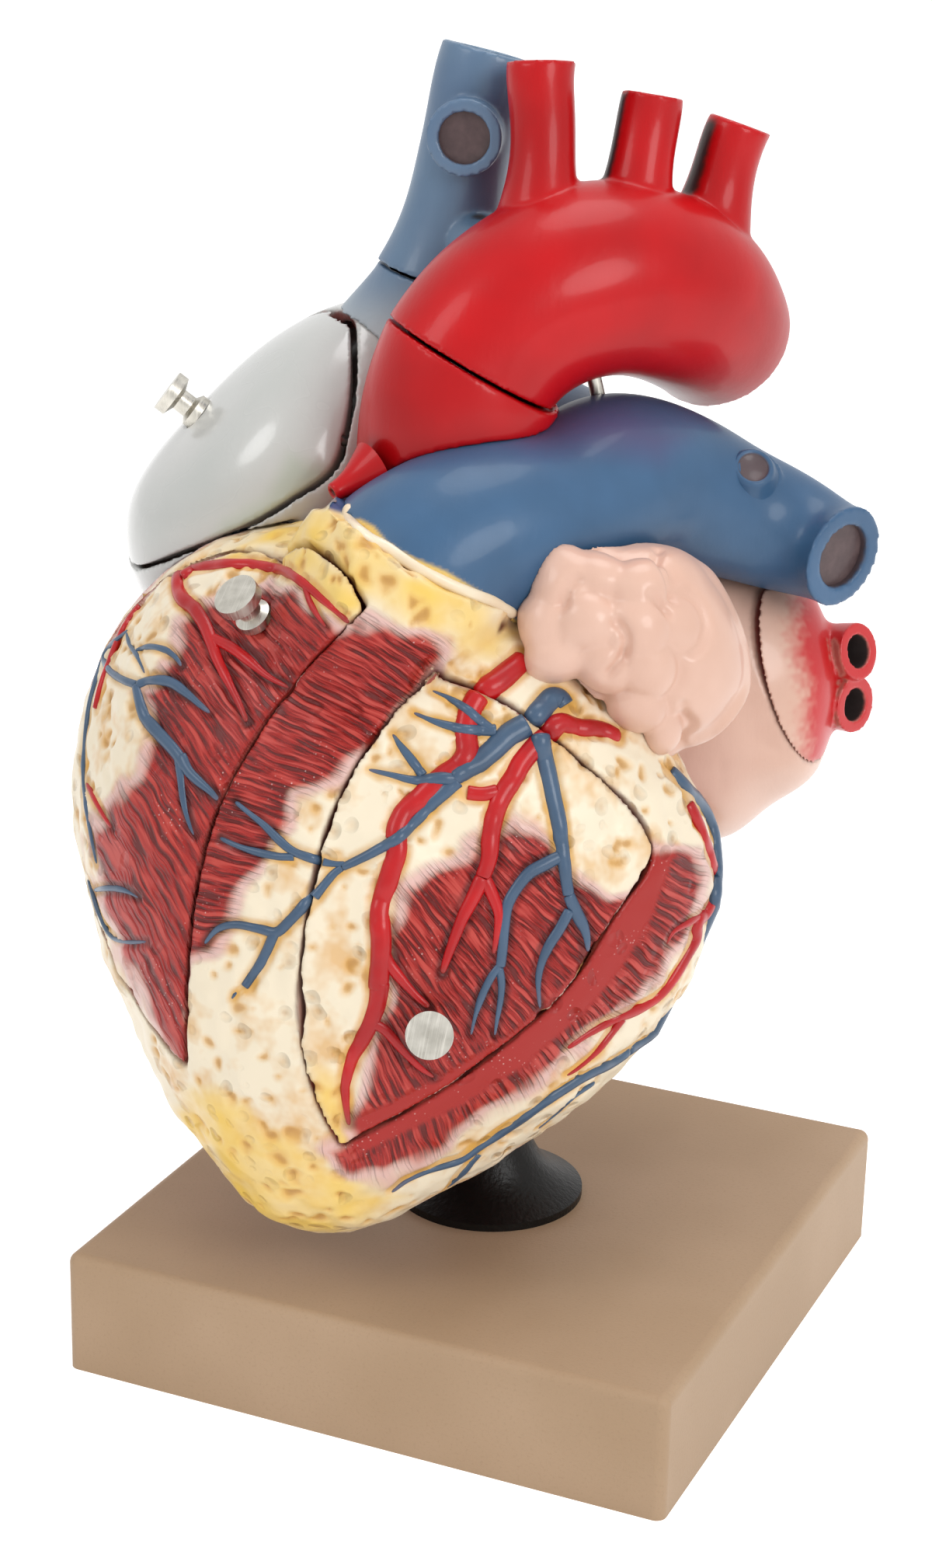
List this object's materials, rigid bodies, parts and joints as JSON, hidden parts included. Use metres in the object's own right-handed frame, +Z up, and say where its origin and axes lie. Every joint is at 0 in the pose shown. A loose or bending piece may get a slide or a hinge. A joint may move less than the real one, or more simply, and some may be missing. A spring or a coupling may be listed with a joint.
{
  "type": "human heart anatomy model",
  "caption": "Human heart anatomy model on a square base: chamber walls pull off by knobs, the aortic arch lifts off and the heart turns on its rod.",
  "frame": {"origin": "middle of the base's underside, on the table", "axes": "+Z up the rod; X and Y along the base's sides; the heart's front faces -Y"},
  "size_m": [0.2131, 0.2062, 0.3622],
  "materials": {
    "base_plastic": "fine textured moulding",
    "black_plastic": "semi-gloss, finely grained",
    "plated_steel": "turned and zinc plated",
    "dowel_steel": "ground",
    "socket_steel": "turned",
    "muscle_red": "painted casting, satin",
    "artery_red": "painted, glossy",
    "vein_blue": "painted, glossy",
    "atrium_grey": "painted, glossy",
    "atrium_pink": "painted, satin",
    "vein_red": "painted, glossy",
    "valve_cream": "satin"
  },
  "bodies": {
    "stand": {"base_block": "base_plastic", "stand_flange": "black_plastic", "stand_rod": "plated_steel", "stand_washer": "plated_steel", "stand_nut": "plated_steel"},
    "heart": {"heart_socket": "socket_steel", "ventricles": "muscle_red", "pulmonary_trunk": "vein_blue", "ascending_aorta": "artery_red", "vena_cava_stump": "vein_blue", "lower_vena_cava": "vein_blue", "right_upper_vein": "vein_red", "right_lower_vein": "vein_red", "left_auricle": "atrium_pink", "right_atrium": "atrium_grey", "left_atrium": "atrium_pink", "mitral_valve": "valve_cream", "tricuspid_valve": "valve_cream", "pulmonary_valve": "valve_cream", "aortic_valve": "valve_cream"},
    "right_ventricle_front": {"right_ventricle_wall": "muscle_red", "right_ventricle_wall_pin_1": "dowel_steel", "right_ventricle_wall_pin_2": "dowel_steel", "right_ventricle_wall_knob": "plated_steel", "right_ventricle_wall_knob_screw": "plated_steel"},
    "left_ventricle_front": {"left_ventricle_wall": "muscle_red", "left_ventricle_wall_pin_1": "dowel_steel", "left_ventricle_wall_pin_2": "dowel_steel", "left_ventricle_wall_knob": "plated_steel", "left_ventricle_wall_knob_screw": "plated_steel"},
    "right_atrium_front": {"right_atrium_wall": "atrium_grey", "right_atrium_wall_pin_1": "dowel_steel", "right_atrium_wall_pin_2": "dowel_steel", "right_atrium_wall_knob": "plated_steel", "right_atrium_wall_knob_screw": "plated_steel"},
    "left_atrium_side": {"left_atrium_wall": "atrium_pink", "left_atrium_wall_pin_1": "dowel_steel", "left_atrium_wall_pin_2": "dowel_steel", "left_upper_vein": "vein_red", "left_lower_vein": "vein_red"},
    "upper_vessels": {"aortic_arch": "artery_red", "upper_vena_cava": "vein_blue", "arch_stud": "plated_steel"}
  },
  "joints": [
    {"name": "heart_swivel", "type": "hinge", "parent": "stand", "child": "heart", "pos_m": [0, 0, 0.09], "axis": [0, 0, 1], "continuous": true},
    {"name": "right_ventricle_pull", "type": "slide", "parent": "heart", "child": "right_ventricle_front", "axis": [-0.2874, -0.8914, 0.3505], "range_m": [0, 0.06]},
    {"name": "left_ventricle_pull", "type": "slide", "parent": "heart", "child": "left_ventricle_front", "axis": [0.3666, -0.8367, 0.4068], "range_m": [0, 0.06]},
    {"name": "right_atrium_pull", "type": "slide", "parent": "heart", "child": "right_atrium_front", "axis": [-0.5075, -0.7148, 0.4811], "range_m": [0, 0.06]},
    {"name": "left_atrium_pull", "type": "slide", "parent": "heart", "child": "left_atrium_side", "axis": [0.9868, -0.0815, -0.1402], "range_m": [0, 0.05]},
    {"name": "arch_lift", "type": "slide", "parent": "heart", "child": "upper_vessels", "axis": [-0.2286, -0.1002, 0.9684], "range_m": [0, 0.05]}
  ]
}
